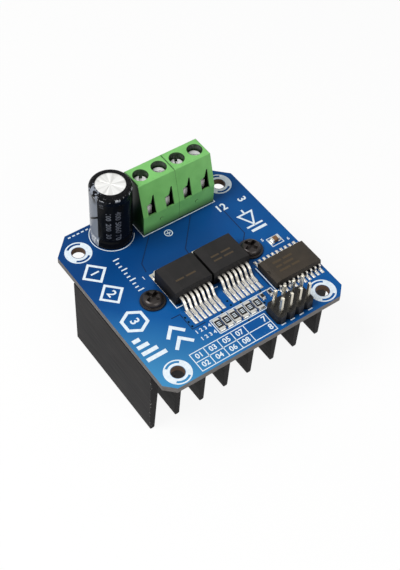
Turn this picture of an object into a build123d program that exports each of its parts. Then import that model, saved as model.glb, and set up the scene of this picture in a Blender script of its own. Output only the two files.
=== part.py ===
"""A dc motor driver module: a square circuit board on a finned heatsink.

Millimetres. +X runs along the front edge, where the pin header is, +Y to the
back edge, where the wires go in, and +Z up. The origin is under the middle of
the board, on the level of the fin tips that the module stands on.
"""
import os

from build123d import *

os.makedirs("parts", exist_ok=True)

# Heatsink: one black anodised aluminium extrusion, cut to length
heatsink_height = 21.0
heatsink_base = 4.0
heatsink_front_inset = 6.7
heatsink_back_inset = 11.7
fin_count = 8
fin_root_thickness = 2.1
fin_tip_thickness = 1.2
fin_tip_radius = 0.4
fin_root_radius = 0.6

# Silicone pad that insulates the board's copper from the heatsink
pad_thickness = 0.5
pad_side_margin = 3.0
pad_end_margin = 2.8

# Circuit board
board_width = 50.0
board_depth = 50.0
board_thickness = 1.6
front_corner_cut = 2.4
back_corner_cut = 4.8
mounting_side_inset = 4.8
mounting_front_inset = 3.5
mounting_back_inset = 6.1
mounting_hole = 3.3

# M3 screws that hold the board on the heatsink
clamp_screw_size = 3.0
clamp_screw_length = 6.0
clamp_screw_front_inset = 22.5
clamp_chip_gap = 0.6
clamp_head_diameter = 5.0
clamp_head_height = 1.8
clamp_flange_diameter = 5.9
clamp_flange_thickness = 0.5
clamp_recess_width = 1.0
clamp_recess_length = 3.4
clamp_recess_depth = 1.2
clamp_recess_turn = 20
clamp_head_round = 1.1
clamp_screw_point = 0.4
clamp_hole_play = 0.3
thread_play = 0.05

# Screw terminals: two blocks of two ways side by side
terminal_pitch = 5.08
terminal_ways = 2
terminal_middle_x = 5.6
terminal_depth = 10.0
terminal_height = 14.4
terminal_band_height = 5.7
terminal_front_slope = 2.5
terminal_back_slope = 1.7
terminal_block_gap = 0.04
terminal_edge = 0.25
terminal_floor = 1.0
cavity_front_wall = 1.9
cavity_back_wall = 1.8
window_width = 2.2
window_shoulder = 8.5
window_neck_level = 8.9
window_neck_width = 1.0
window_top = 10.6
window_peak_width = 0.3
window_wall = 0.4
window_lip = 1.6
well_diameter = 3.8
shelf_thickness = 0.9
wire_hole_width = 3.0
wire_hole_bottom = 1.7
wire_hole_height = 3.0
wire_hole_corner = 0.75
wire_mouth_flare = 0.5
mould_mark_diameter = 0.8
mould_mark_height = 0.12
mould_mark_level = 3.05

# Rising clamp in each way, its screw and the fixed contact
cage_width = 3.7
cage_depth = 4.2
cage_floor = 0.7
cage_top = 1.8
cage_wall = 0.5
wire_space = 2.6
cage_travel = 2.3
cage_play = 0.2
cage_side_play = 0.3
cage_edge = 0.5
clamp_front_inset = 5.25
terminal_screw_size = 2.5
terminal_screw_head = 3.5
terminal_screw_head_height = 2.0
terminal_slot_width = 0.8
terminal_slot_depth = 1.1
terminal_slot_turns = [55, -30, 62, -40]
terminal_screw_point = 0.3
terminal_head_edge = 0.25
contact_thickness = 0.7
contact_width = 2.3
contact_tongue_height = 1.2
contact_pin_width = 1.0
contact_pin_below_board = 1.9
contact_cage_gap = 0.3
pin_hole_play = 0.3

# Radial electrolytic capacitor
capacitor_terminal_gap = 1.0
capacitor_back_inset = 0.4
capacitor_diameter = 10.0
capacitor_height = 17.0
sleeve_thickness = 0.15
sleeve_lip = 1.45
can_top_edge = 0.5
sleeve_rim_radius = 0.85
can_groove_level = 2.7
can_groove_width = 1.6
can_groove_depth = 0.3
can_groove_round = 1.2
bung_radius = 4.2
can_standoff = 0.3
vent_turn = 35
bung_height = 2.0
vent_width = 0.25
vent_depth = 0.06
vent_length = 5.6
capacitor_lead = 0.6
capacitor_lead_pitch = 5.0
capacitor_lead_below_board = 1.6

# Two power chips with seven bent legs and a copper heat tab each
power_chip_gap = 0.6
power_front_inset = 18.5
power_body_width = 10.0
power_body_length = 9.1
power_body_height = 4.4
power_side_draft = 0.3
power_back_bevel = 0.9
power_back_corner = 0.55
power_part_level = 2.4
power_front_draft = 0.25
power_tab_length = 1.2
power_tab_thickness = 1.27
power_tab_side_inset = 0.2
power_tab_corner = 0.8
power_tab_share = 0.85
power_standoff = 0.1
power_leg_count = 7
power_leg_pitch = 1.27
power_leg_width = 0.62
power_leg_thickness = 0.5
power_leg_reach = 4.7
power_foot_length = 2.1
power_leg_bend = 1.4
power_leg_slope = 1.4

# Logic chip with twenty legs
logic_chip_gap = 1.35
logic_front_inset = 13.25
logic_length = 12.8
logic_width = 7.5
logic_height = 2.35
logic_standoff = 0.15
logic_side_draft = 0.3
logic_leg_count = 10
logic_leg_pitch = 1.27
logic_leg_width = 0.42
logic_leg_thickness = 0.28
logic_leg_span = 10.3
logic_foot_length = 0.8
logic_leg_bend = 0.3
logic_leg_slope = 0.15
logic_leg_level = 1.15
logic_notch_radius = 0.6
logic_notch_depth = 0.3

# Pin header, two rows of four
header_pitch = 2.54
header_columns = 4
header_rows = 2
header_first_x = 6.87
header_front_inset = 2.5
header_base_height = 2.54
header_notch_width = 0.78
header_pin_width = 0.64
header_pin_top = 7.9
header_pin_below_board = 1.5
header_pin_point = 0.2

# Chip resistors between the power chips and the header: a row of large ones side by
# side, and two small ones that carry the row on
resistor_length = 3.2
resistor_width = 1.6
resistor_height = 0.55
resistor_end = 0.5
resistor_pitch = 2.16
resistor_count = 6
resistor_first_x = -5.4
resistor_front_inset = 8.75
small_resistor_length = 1.6
small_resistor_width = 0.85
small_resistor_height = 0.45
small_resistor_end = 0.3
small_resistor_count = 2
small_resistor_front_inset = 9.8

# Chip capacitor beside the logic chip
chip_capacitor_x = 20.5
chip_capacitor_front_inset = 21.7
chip_capacitor_length = 2.0
chip_capacitor_width = 1.25
chip_capacitor_height = 0.9
chip_capacitor_end = 0.4

# Nearness within which two levels count as one
same_level = 0.01

# Levels and places that follow from the sizes above
board_bottom = heatsink_height + pad_thickness
board_top = board_bottom + board_thickness
heatsink_width = board_width
heatsink_depth = board_depth - heatsink_front_inset - heatsink_back_inset
board_front_y = -board_depth / 2
heatsink_front_y = board_front_y + heatsink_front_inset
heatsink_middle_y = heatsink_front_y + heatsink_depth / 2
pad_width = heatsink_width - 2 * pad_side_margin
pad_depth = heatsink_depth - 2 * pad_end_margin
fin_root_level = heatsink_height - heatsink_base
fin_pitch = (heatsink_width - fin_tip_thickness) / (fin_count - 1)
power_chip_x = (power_chip_gap + power_body_width) / 2
power_outer_x = power_chip_x + power_body_width / 2
power_tab_width = power_body_width - 2 * power_tab_side_inset
power_front = board_front_y + power_front_inset
power_back = power_front + power_body_length
clamp_screw_y = board_front_y + clamp_screw_front_inset
clamp_screw_x = power_outer_x + clamp_chip_gap + clamp_flange_diameter / 2
mounting_width = board_width - 2 * mounting_side_inset
mounting_depth = board_depth - mounting_front_inset - mounting_back_inset
mounting_middle_y = (mounting_front_inset - mounting_back_inset) / 2
terminal_front_y = board_depth / 2 - terminal_depth
terminal_block_length = terminal_ways * terminal_pitch
cage_bottom = terminal_floor + cage_play
contact_bottom = cage_bottom + cage_floor + wire_space
contact_top = contact_bottom + contact_thickness
cage_height = contact_top + cage_play + cage_top - cage_bottom
cavity_front_y = terminal_front_y + cavity_front_wall
cavity_back_y = terminal_front_y + terminal_depth - cavity_back_wall
cavity_width = cage_width + 2 * cage_side_play
cavity_top = cage_bottom + cage_height + cage_travel + cage_play
shelf_top = cavity_top + shelf_thickness
clamp_centre_y = terminal_front_y + clamp_front_inset
contact_leg_y = clamp_centre_y - cage_depth / 2 - contact_cage_gap - contact_thickness / 2
block_middles = [
    terminal_middle_x - terminal_block_length / 2,
    terminal_middle_x + terminal_block_length / 2,
]
way_offsets = [(way - (terminal_ways - 1) / 2) * terminal_pitch for way in range(terminal_ways)]
way_places = [middle + offset for middle in block_middles for offset in way_offsets]
capacitor_x = block_middles[0] - terminal_block_length / 2 - capacitor_terminal_gap - capacitor_diameter / 2
capacitor_y = board_depth / 2 - capacitor_back_inset - capacitor_diameter / 2
logic_x = power_outer_x + logic_chip_gap + logic_length / 2
logic_y = board_front_y + logic_front_inset
header_front_y = board_front_y + header_front_inset
header_middle_x = header_first_x + (header_columns - 1) * header_pitch / 2
header_middle_y = header_front_y + (header_rows - 1) * header_pitch / 2
resistor_y = board_front_y + resistor_front_inset
small_resistor_y = board_front_y + small_resistor_front_inset
chip_capacitor_y = board_front_y + chip_capacitor_front_inset


def save(part, name):
    """Label a finished piece and write it under its own name."""
    part.label = name
    export_step(part, f"parts/{name}.step")


# Heatsink: a flat base with eight tapered fins, drawn as a section and cut to length
with BuildPart() as heatsink:
    with BuildSketch(Plane.XZ.offset(-heatsink_front_y - heatsink_depth)) as section:
        with Locations((0, heatsink_height - heatsink_base / 2)):
            Rectangle(heatsink_width, heatsink_base)
        for fin in range(fin_count):
            tip_middle = -heatsink_width / 2 + fin_tip_thickness / 2 + fin * fin_pitch
            tip_left = tip_middle - fin_tip_thickness / 2
            tip_right = tip_middle + fin_tip_thickness / 2
            taper = fin_root_thickness - fin_tip_thickness
            taper_left = 0 if fin == 0 else taper / 2
            taper_right = 0 if fin == fin_count - 1 else taper / 2
            root_left = tip_left - (taper if fin == fin_count - 1 else taper_left)
            root_right = tip_right + (taper if fin == 0 else taper_right)
            with BuildLine():
                Polyline(
                    (root_left, fin_root_level + heatsink_base / 2),
                    (root_left, fin_root_level),
                    (tip_left, 0),
                    (tip_right, 0),
                    (root_right, fin_root_level),
                    (root_right, fin_root_level + heatsink_base / 2),
                    close=True,
                )
            make_face()
        fillet(section.vertices().group_by(Axis.Y)[0], fin_tip_radius)
        roots = section.vertices().filter_by(
            lambda v: abs(v.Y - fin_root_level) < same_level
            and abs(v.X) < heatsink_width / 2 - same_level
        )
        fillet(roots, fin_root_radius)
    extrude(amount=heatsink_depth)
    with Locations(
        (-clamp_screw_x, clamp_screw_y, heatsink_height),
        (clamp_screw_x, clamp_screw_y, heatsink_height),
    ):
        Hole((clamp_screw_size + thread_play) / 2, depth=heatsink_base)
save(heatsink.part, "heatsink")

# Thermal pad, with a hole round each screw
with BuildPart() as thermal_pad:
    with BuildSketch(Plane.XY.offset(heatsink_height)):
        with Locations((0, heatsink_middle_y)):
            Rectangle(pad_width, pad_depth)
        with Locations((-clamp_screw_x, clamp_screw_y), (clamp_screw_x, clamp_screw_y)):
            Circle(mounting_hole / 2 + clamp_hole_play, mode=Mode.SUBTRACT)
    extrude(amount=pad_thickness)
save(thermal_pad.part, "thermal_pad")

# Circuit board, with its corners cut and all its drilled holes
with BuildPart() as circuit_board:
    with BuildSketch(Plane.XY.offset(board_bottom)) as outline:
        Rectangle(board_width, board_depth)
        corners = outline.vertices().group_by(Axis.Y)
        chamfer(corners[0], front_corner_cut)
        corners = outline.vertices().group_by(Axis.Y)
        chamfer(corners[-1], back_corner_cut)
        with Locations((0, mounting_middle_y)):
            with GridLocations(mounting_width, mounting_depth, 2, 2):
                Circle(mounting_hole / 2, mode=Mode.SUBTRACT)
        with Locations((-clamp_screw_x, clamp_screw_y), (clamp_screw_x, clamp_screw_y)):
            Circle(mounting_hole / 2, mode=Mode.SUBTRACT)
        with Locations([(x, contact_leg_y) for x in way_places]):
            Circle(contact_pin_width / 2 + pin_hole_play, mode=Mode.SUBTRACT)
        with Locations((capacitor_x, capacitor_y)):
            with GridLocations(capacitor_lead_pitch, 0, 2, 1):
                Circle((capacitor_lead + pin_hole_play) / 2, mode=Mode.SUBTRACT)
        with Locations((header_middle_x, header_middle_y)):
            with GridLocations(header_pitch, header_pitch, header_columns, header_rows):
                Circle(header_pin_width / 2 + pin_hole_play / 2, mode=Mode.SUBTRACT)
    extrude(amount=board_thickness)
save(circuit_board.part, "circuit_board")

# Terminal housings: a leaning section, with a well, a wire hole, a cavity for the clamp
# that reaches to a thin front wall, and a window in that wall in each way
front_y = terminal_front_y
back_y = terminal_front_y + terminal_depth
chamber_bottom = board_top + terminal_band_height - window_lip
front_lean = terminal_front_slope / (terminal_height - terminal_band_height)
chamber_top_y = front_y + front_lean * (cavity_top - terminal_band_height)
for side, middle_x in zip(("left", "right"), block_middles):
    length = terminal_block_length - terminal_block_gap
    with BuildPart() as terminal_housing:
        with BuildSketch(Plane.YZ.offset(middle_x - length / 2)):
            with BuildLine():
                Polyline(
                    (front_y, board_top),
                    (front_y, board_top + terminal_band_height),
                    (front_y + terminal_front_slope, board_top + terminal_height),
                    (back_y - terminal_back_slope, board_top + terminal_height),
                    (back_y, board_top + terminal_band_height),
                    (back_y, board_top),
                    close=True,
                )
            make_face()
        extrude(amount=length)
        chamfer(terminal_housing.edges().group_by(Axis.Z)[-1], terminal_edge)
        with Locations((middle_x, front_y, board_top + mould_mark_level)):
            Cylinder(
                mould_mark_diameter / 2,
                2 * mould_mark_height,
                rotation=(90, 0, 0),
            )
        for way_x in [middle_x + offset for offset in way_offsets]:
            with BuildSketch(Plane.YZ.offset(way_x - cavity_width / 2)):
                with BuildLine():
                    Polyline(
                        (cavity_front_y, board_top + terminal_floor),
                        (cavity_front_y, chamber_bottom),
                        (front_y + window_wall, chamber_bottom),
                        (front_y + window_wall, board_top + terminal_band_height),
                        (chamber_top_y + window_wall, board_top + cavity_top),
                        (cavity_back_y, board_top + cavity_top),
                        (cavity_back_y, board_top + terminal_floor),
                        close=True,
                    )
                make_face()
            extrude(amount=cavity_width, mode=Mode.SUBTRACT)
            with Locations((way_x, clamp_centre_y, board_top + cavity_top)):
                Cylinder(
                    terminal_screw_size / 2 + cage_play,
                    shelf_thickness,
                    align=(Align.CENTER, Align.CENTER, Align.MIN),
                    mode=Mode.SUBTRACT,
                )
            with Locations((way_x, clamp_centre_y, board_top + shelf_top)):
                Cylinder(
                    well_diameter / 2,
                    terminal_height - shelf_top,
                    align=(Align.CENTER, Align.CENTER, Align.MIN),
                    mode=Mode.SUBTRACT,
                )
            window_left = way_x - window_width / 2
            window_right = way_x + window_width / 2
            with BuildSketch(Plane.XZ.offset(-cavity_front_y)):
                with BuildLine():
                    Polyline(
                        (window_left, board_top + terminal_band_height),
                        (window_left, board_top + window_shoulder),
                        (window_right - window_neck_width, board_top + window_neck_level),
                        (window_right - window_peak_width, board_top + window_top),
                        (window_right, board_top + window_top),
                        (window_right, board_top + terminal_band_height),
                        close=True,
                    )
                make_face()
            extrude(amount=cavity_front_wall, mode=Mode.SUBTRACT)
            hole_middle = board_top + wire_hole_bottom + wire_hole_height / 2
            with BuildSketch(Plane.XZ.offset(-cavity_back_y)):
                with Locations((way_x, hole_middle)):
                    RectangleRounded(wire_hole_width, wire_hole_height, wire_hole_corner)
            with BuildSketch(Plane.XZ.offset(-back_y)):
                with Locations((way_x, hole_middle)):
                    RectangleRounded(
                        wire_hole_width + 2 * wire_mouth_flare,
                        wire_hole_height + 2 * wire_mouth_flare,
                        wire_hole_corner + wire_mouth_flare,
                    )
            loft(mode=Mode.SUBTRACT)
            with Locations((way_x, contact_leg_y, board_top)):
                Box(
                    contact_width + pin_hole_play,
                    contact_thickness + pin_hole_play,
                    terminal_floor,
                    align=(Align.CENTER, Align.CENTER, Align.MIN),
                    mode=Mode.SUBTRACT,
                )
    save(terminal_housing.part, f"terminal_housing_{side}")

# Clamps, clamp screws and contacts, one of each in every way
for way, (way_x, slot_turn) in enumerate(zip(way_places, terminal_slot_turns), start=1):
    with BuildPart() as terminal_cage:
        with Locations((way_x, clamp_centre_y, board_top + cage_bottom)):
            Box(
                cage_width,
                cage_depth,
                cage_height,
                align=(Align.CENTER, Align.CENTER, Align.MIN),
            )
        chamfer(terminal_cage.edges().filter_by(Axis.X).group_by(Axis.Z)[-1], cage_edge)
        fillet(terminal_cage.edges().filter_by(Axis.Y), cage_wall)
        with Locations((way_x, clamp_centre_y, board_top + cage_bottom + cage_floor)):
            Box(
                cage_width - 2 * cage_wall,
                cage_depth,
                cage_height - cage_floor - cage_top,
                align=(Align.CENTER, Align.CENTER, Align.MIN),
                mode=Mode.SUBTRACT,
            )
        with Locations((way_x, clamp_centre_y, board_top + cage_bottom + cage_height)):
            Hole((terminal_screw_size + thread_play) / 2, depth=cage_top)
    save(terminal_cage.part, f"terminal_cage_{way}")

    head_bottom = board_top + shelf_top + thread_play
    with BuildPart() as terminal_screw:
        with Locations((way_x, clamp_centre_y, board_top + contact_top + thread_play)):
            Cylinder(
                terminal_screw_size / 2,
                head_bottom - board_top - contact_top - thread_play,
                align=(Align.CENTER, Align.CENTER, Align.MIN),
            )
        chamfer(terminal_screw.edges().group_by(Axis.Z)[0], terminal_screw_point)
        with Locations((way_x, clamp_centre_y, head_bottom)):
            Cylinder(
                terminal_screw_head / 2,
                terminal_screw_head_height,
                align=(Align.CENTER, Align.CENTER, Align.MIN),
            )
        chamfer(terminal_screw.edges().group_by(Axis.Z)[-1], terminal_head_edge)
        with Locations((way_x, clamp_centre_y, head_bottom + terminal_screw_head_height)):
            Box(
                terminal_screw_head,
                terminal_slot_width,
                2 * terminal_slot_depth,
                rotation=(0, 0, slot_turn),
                mode=Mode.SUBTRACT,
            )
    save(terminal_screw.part, f"terminal_screw_{way}")

    with BuildPart() as terminal_contact:
        bar_back = clamp_centre_y + cage_depth / 2 + contact_cage_gap
        leg_front = contact_leg_y - contact_thickness / 2
        leg_back = contact_leg_y + contact_thickness / 2
        with BuildSketch(Plane.YZ.offset(way_x - contact_width / 2)):
            with BuildLine():
                Polyline(
                    (leg_front, board_top),
                    (leg_front, board_top + contact_top + contact_tongue_height),
                    (leg_back, board_top + contact_top + contact_tongue_height),
                    (leg_back, board_top + contact_top),
                    (bar_back, board_top + contact_top),
                    (bar_back, board_top + contact_bottom),
                    (leg_back, board_top + contact_bottom),
                    (leg_back, board_top),
                    close=True,
                )
            make_face()
        extrude(amount=contact_width)
        with Locations((way_x, contact_leg_y, board_top)):
            Box(
                contact_pin_width,
                contact_thickness,
                board_thickness + contact_pin_below_board,
                align=(Align.CENTER, Align.CENTER, Align.MAX),
            )
    save(terminal_contact.part, f"terminal_contact_{way}")


def can_points(grow):
    """Half section of the capacitor's can as (radius, level) points, grown outwards."""
    radius = can_radius + grow
    bottom = can_bottom - grow
    top = can_top + grow
    groove = board_top + can_groove_level
    return [
        (0, bottom),
        (radius, bottom),
        (radius, groove - can_groove_width / 2),
        (radius - can_groove_depth, groove),
        (radius, groove + can_groove_width / 2),
        (radius, top),
        (0, top),
    ]


# Electrolytic capacitor: rolled aluminium can, shrunk sleeve, rubber bung and leads
can_radius = capacitor_diameter / 2 - sleeve_thickness
can_top = board_top + capacitor_height - sleeve_thickness
can_bottom = board_top + can_standoff
capacitor_plane = Plane(origin=(capacitor_x, capacitor_y, 0), x_dir=(1, 0, 0), z_dir=(0, -1, 0))
capacitor_axis = Axis(origin=(capacitor_x, capacitor_y, 0), direction=(0, 0, 1))

with BuildPart() as capacitor_bung:
    with Locations((capacitor_x, capacitor_y, board_top)):
        Cylinder(
            bung_radius,
            bung_height,
            align=(Align.CENTER, Align.CENTER, Align.MIN),
        )
        with GridLocations(capacitor_lead_pitch, 0, 2, 1):
            Cylinder(
                capacitor_lead / 2,
                bung_height,
                align=(Align.CENTER, Align.CENTER, Align.MIN),
                mode=Mode.SUBTRACT,
            )
save(capacitor_bung.part, "capacitor_bung")

with BuildPart() as capacitor_can:
    with BuildSketch(capacitor_plane) as section:
        with BuildLine():
            Polyline(can_points(0), close=True)
        make_face()
        rim = section.vertices().group_by(Axis.Y)[-1].sort_by(Axis.X)[-1]
        chamfer(rim, can_top_edge)
    revolve(axis=capacitor_axis)
    with Locations((capacitor_x, capacitor_y, can_bottom)):
        Cylinder(
            bung_radius,
            board_top + bung_height - can_bottom,
            align=(Align.CENTER, Align.CENTER, Align.MIN),
            mode=Mode.SUBTRACT,
        )
    with BuildSketch(Plane.XY.offset(can_top)):
        with Locations((capacitor_x, capacitor_y)):
            Rectangle(vent_length, vent_width, rotation=vent_turn)
            Rectangle(vent_length, vent_width, rotation=vent_turn + 90)
    extrude(amount=-vent_depth, mode=Mode.SUBTRACT)
save(capacitor_can.part, "capacitor_can")

with BuildPart() as capacitor_sleeve:
    with BuildSketch(capacitor_plane) as section:
        with BuildLine():
            Polyline(can_points(sleeve_thickness), close=True)
        make_face()
        waist = section.vertices().filter_by(
            lambda v: abs(v.Y - board_top - can_groove_level) < same_level
        )
        fillet(waist, can_groove_round)
        rim = section.vertices().group_by(Axis.Y)[-1].sort_by(Axis.X)[-1]
        fillet(rim, sleeve_rim_radius)
    revolve(axis=capacitor_axis)
    add(capacitor_can.part, mode=Mode.SUBTRACT)
    with Locations((capacitor_x, capacitor_y, board_top)):
        Cylinder(
            bung_radius,
            bung_height,
            align=(Align.CENTER, Align.CENTER, Align.MIN),
            mode=Mode.SUBTRACT,
        )
        Cylinder(
            capacitor_diameter / 2 - sleeve_lip,
            capacitor_height + sleeve_thickness,
            align=(Align.CENTER, Align.CENTER, Align.MIN),
            mode=Mode.SUBTRACT,
        )
save(capacitor_sleeve.part, "capacitor_sleeve")

with BuildPart() as capacitor_leads:
    with Locations((capacitor_x, capacitor_y, board_top + bung_height)):
        with GridLocations(capacitor_lead_pitch, 0, 2, 1):
            Cylinder(
                capacitor_lead / 2,
                bung_height + board_thickness + capacitor_lead_below_board,
                align=(Align.CENTER, Align.CENTER, Align.MAX),
            )
save(capacitor_leads.part, "capacitor_leads")

# Power chips: a black block on a copper tab, with seven bent legs
for side, chip_x in (("left", -power_chip_x), ("right", power_chip_x)):
    with BuildPart() as power_tab:
        with BuildSketch(Plane.XY.offset(board_top)) as plate:
            with Locations((chip_x, power_back + power_tab_length)):
                Rectangle(
                    power_tab_width,
                    power_tab_length + power_body_length * power_tab_share,
                    align=(Align.CENTER, Align.MAX),
                )
            chamfer(plate.vertices().group_by(Axis.Y)[-1], power_tab_corner)
        extrude(amount=power_tab_thickness)
    save(power_tab.part, f"power_chip_{side}_tab")

    with BuildPart() as power_body:
        with BuildSketch(Plane.YZ.offset(chip_x - power_body_width / 2)):
            with BuildLine():
                Polyline(
                    (power_front + power_front_draft, board_top + power_standoff),
                    (power_front, board_top + power_part_level),
                    (power_front + power_front_draft, board_top + power_body_height),
                    (power_back - power_back_bevel, board_top + power_body_height),
                    (power_back, board_top + power_part_level),
                    (power_back, board_top + power_standoff),
                    close=True,
                )
            make_face()
        extrude(amount=power_body_width)
        top_sides = power_body.edges().group_by(Axis.Z)[-1].filter_by(Axis.Y)
        chamfer(top_sides, power_body_height - power_part_level, power_side_draft)
        with BuildSketch(Plane.XY.offset(board_top)) as plan:
            with Locations((chip_x, power_front)):
                Rectangle(
                    power_body_width,
                    power_body_length,
                    align=(Align.CENTER, Align.MIN),
                )
            chamfer(plan.vertices().group_by(Axis.Y)[-1], power_back_corner)
        extrude(amount=power_body_height, mode=Mode.INTERSECT)
        add(power_tab.part, mode=Mode.SUBTRACT)
    save(power_body.part, f"power_chip_{side}_body")

    with BuildPart() as power_legs:
        leg_tip = power_front - power_leg_reach
        leg_level = board_top + power_part_level
        foot_level = board_top + power_leg_thickness / 2
        for leg in range(power_leg_count):
            leg_x = chip_x + (leg - (power_leg_count - 1) / 2) * power_leg_pitch
            with BuildSketch(Plane.YZ.offset(leg_x - power_leg_width / 2)):
                with BuildLine():
                    FilletPolyline(
                        (power_front, leg_level),
                        (leg_tip + power_foot_length + power_leg_slope, leg_level),
                        (leg_tip + power_foot_length, foot_level),
                        (leg_tip, foot_level),
                        radius=power_leg_bend,
                    )
                trace(line_width=power_leg_thickness)
            extrude(amount=power_leg_width)
    save(power_legs.part, f"power_chip_{side}_legs")

# Logic chip: a drafted black body with ten legs along each side
with BuildPart() as logic_body:
    with BuildSketch(Plane.YZ.offset(logic_x - logic_length / 2)):
        parting = board_top + logic_leg_level
        half = logic_width / 2
        with BuildLine():
            Polyline(
                (logic_y - half + logic_side_draft, board_top + logic_standoff),
                (logic_y - half, parting),
                (logic_y - half + logic_side_draft, board_top + logic_height),
                (logic_y + half - logic_side_draft, board_top + logic_height),
                (logic_y + half, parting),
                (logic_y + half - logic_side_draft, board_top + logic_standoff),
                close=True,
            )
        make_face()
    extrude(amount=logic_length)
    top_ends = logic_body.edges().group_by(Axis.Z)[-1].filter_by(Axis.Y)
    chamfer(top_ends, logic_height - logic_leg_level, logic_side_draft)
    with Locations((logic_x - logic_length / 2, logic_y, board_top + logic_height)):
        Cylinder(logic_notch_radius, 2 * logic_notch_depth, mode=Mode.SUBTRACT)
save(logic_body.part, "logic_chip_body")

with BuildPart() as logic_legs:
    for outward in (-1, 1):
        edge_y = logic_y + outward * logic_width / 2
        tip_y = logic_y + outward * logic_leg_span / 2
        foot_y = tip_y - outward * logic_foot_length
        foot_level = board_top + logic_leg_thickness / 2
        for leg in range(logic_leg_count):
            leg_x = logic_x + (leg - (logic_leg_count - 1) / 2) * logic_leg_pitch
            with BuildSketch(Plane.YZ.offset(leg_x - logic_leg_width / 2)):
                with BuildLine():
                    FilletPolyline(
                        (edge_y, parting),
                        (foot_y - outward * logic_leg_slope, parting),
                        (foot_y, foot_level),
                        (tip_y, foot_level),
                        radius=logic_leg_bend,
                    )
                trace(line_width=logic_leg_thickness)
            extrude(amount=logic_leg_width)
save(logic_legs.part, "logic_chip_legs")

# Pin header: a moulded strip with notched cells, and eight square pins
with BuildPart() as header_base:
    with BuildSketch(Plane.XY.offset(board_top)) as cells:
        with Locations((header_middle_x, header_middle_y)):
            with GridLocations(header_pitch, header_pitch, header_columns, header_rows):
                Rectangle(header_pitch, header_pitch)
            with GridLocations(
                header_pitch,
                header_rows * header_pitch,
                header_columns + 1,
                2,
            ):
                Rectangle(
                    header_notch_width,
                    header_notch_width,
                    rotation=45,
                    mode=Mode.SUBTRACT,
                )
    extrude(amount=header_base_height)
    with Locations((header_middle_x, header_middle_y, board_top)):
        with GridLocations(header_pitch, header_pitch, header_columns, header_rows):
            Box(
                header_pin_width,
                header_pin_width,
                header_base_height,
                align=(Align.CENTER, Align.CENTER, Align.MIN),
                mode=Mode.SUBTRACT,
            )
save(header_base.part, "header_base")

with BuildPart() as header_pins:
    with Locations((header_middle_x, header_middle_y, board_bottom - header_pin_below_board)):
        with GridLocations(header_pitch, header_pitch, header_columns, header_rows):
            Box(
                header_pin_width,
                header_pin_width,
                header_pin_below_board + board_thickness + header_pin_top,
                align=(Align.CENTER, Align.CENTER, Align.MIN),
            )
    chamfer(header_pins.edges().group_by(Axis.Z)[-1], header_pin_point)
    chamfer(header_pins.edges().group_by(Axis.Z)[0], header_pin_point)
save(header_pins.part, "header_pins")

# Screws through the board into the heatsink: pan head with a rim and a cross recess
for side, screw_x in (("left", -clamp_screw_x), ("right", clamp_screw_x)):
    with BuildPart() as heatsink_screw:
        with Locations((screw_x, clamp_screw_y, board_top)):
            Cylinder(
                clamp_screw_size / 2,
                clamp_screw_length,
                align=(Align.CENTER, Align.CENTER, Align.MAX),
            )
            Cylinder(
                clamp_flange_diameter / 2,
                clamp_flange_thickness,
                align=(Align.CENTER, Align.CENTER, Align.MIN),
            )
            Cylinder(
                clamp_head_diameter / 2,
                clamp_head_height,
                align=(Align.CENTER, Align.CENTER, Align.MIN),
            )
        fillet(heatsink_screw.edges().group_by(Axis.Z)[-1], clamp_head_round)
        chamfer(heatsink_screw.edges().group_by(Axis.Z)[0], clamp_screw_point)
        with BuildSketch(Plane.XY.offset(board_top + clamp_head_height)):
            with Locations((screw_x, clamp_screw_y)):
                Rectangle(clamp_recess_length, clamp_recess_width, rotation=clamp_recess_turn)
                Rectangle(clamp_recess_width, clamp_recess_length, rotation=clamp_recess_turn)
        extrude(amount=-clamp_recess_depth, mode=Mode.SUBTRACT)
    save(heatsink_screw.part, f"heatsink_screw_{side}")

# Chip resistors: ceramic blocks with a tinned cap at each end, all along Y
resistor_places = [
    (resistor_first_x + column * resistor_pitch, resistor_y, board_top)
    for column in range(resistor_count)
]
small_resistor_places = [
    (resistor_first_x + column * resistor_pitch, small_resistor_y, board_top)
    for column in range(resistor_count, resistor_count + small_resistor_count)
]
resistor_core = resistor_length - 2 * resistor_end
small_resistor_core = small_resistor_length - 2 * small_resistor_end
with BuildPart() as chip_resistor_bodies:
    with Locations(resistor_places):
        Box(
            resistor_width,
            resistor_core,
            resistor_height,
            align=(Align.CENTER, Align.CENTER, Align.MIN),
        )
    with Locations(small_resistor_places):
        Box(
            small_resistor_width,
            small_resistor_core,
            small_resistor_height,
            align=(Align.CENTER, Align.CENTER, Align.MIN),
        )
save(chip_resistor_bodies.part, "chip_resistor_bodies")

with BuildPart() as chip_resistor_ends:
    with Locations(resistor_places):
        with GridLocations(0, resistor_core + resistor_end, 1, 2):
            Box(
                resistor_width,
                resistor_end,
                resistor_height,
                align=(Align.CENTER, Align.CENTER, Align.MIN),
            )
    with Locations(small_resistor_places):
        with GridLocations(0, small_resistor_core + small_resistor_end, 1, 2):
            Box(
                small_resistor_width,
                small_resistor_end,
                small_resistor_height,
                align=(Align.CENTER, Align.CENTER, Align.MIN),
            )
save(chip_resistor_ends.part, "chip_resistor_ends")

# Chip capacitor: a ceramic block between two tinned ends
chip_core = chip_capacitor_length - 2 * chip_capacitor_end
with BuildPart() as chip_capacitor_body:
    with Locations((chip_capacitor_x, chip_capacitor_y, board_top)):
        Box(
            chip_core,
            chip_capacitor_width,
            chip_capacitor_height,
            align=(Align.CENTER, Align.CENTER, Align.MIN),
        )
save(chip_capacitor_body.part, "chip_capacitor_body")

with BuildPart() as chip_capacitor_ends:
    with Locations((chip_capacitor_x, chip_capacitor_y, board_top)):
        with GridLocations(chip_core + chip_capacitor_end, 0, 2, 1):
            Box(
                chip_capacitor_end,
                chip_capacitor_width,
                chip_capacitor_height,
                align=(Align.CENTER, Align.CENTER, Align.MIN),
            )
save(chip_capacitor_ends.part, "chip_capacitor_ends")
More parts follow.
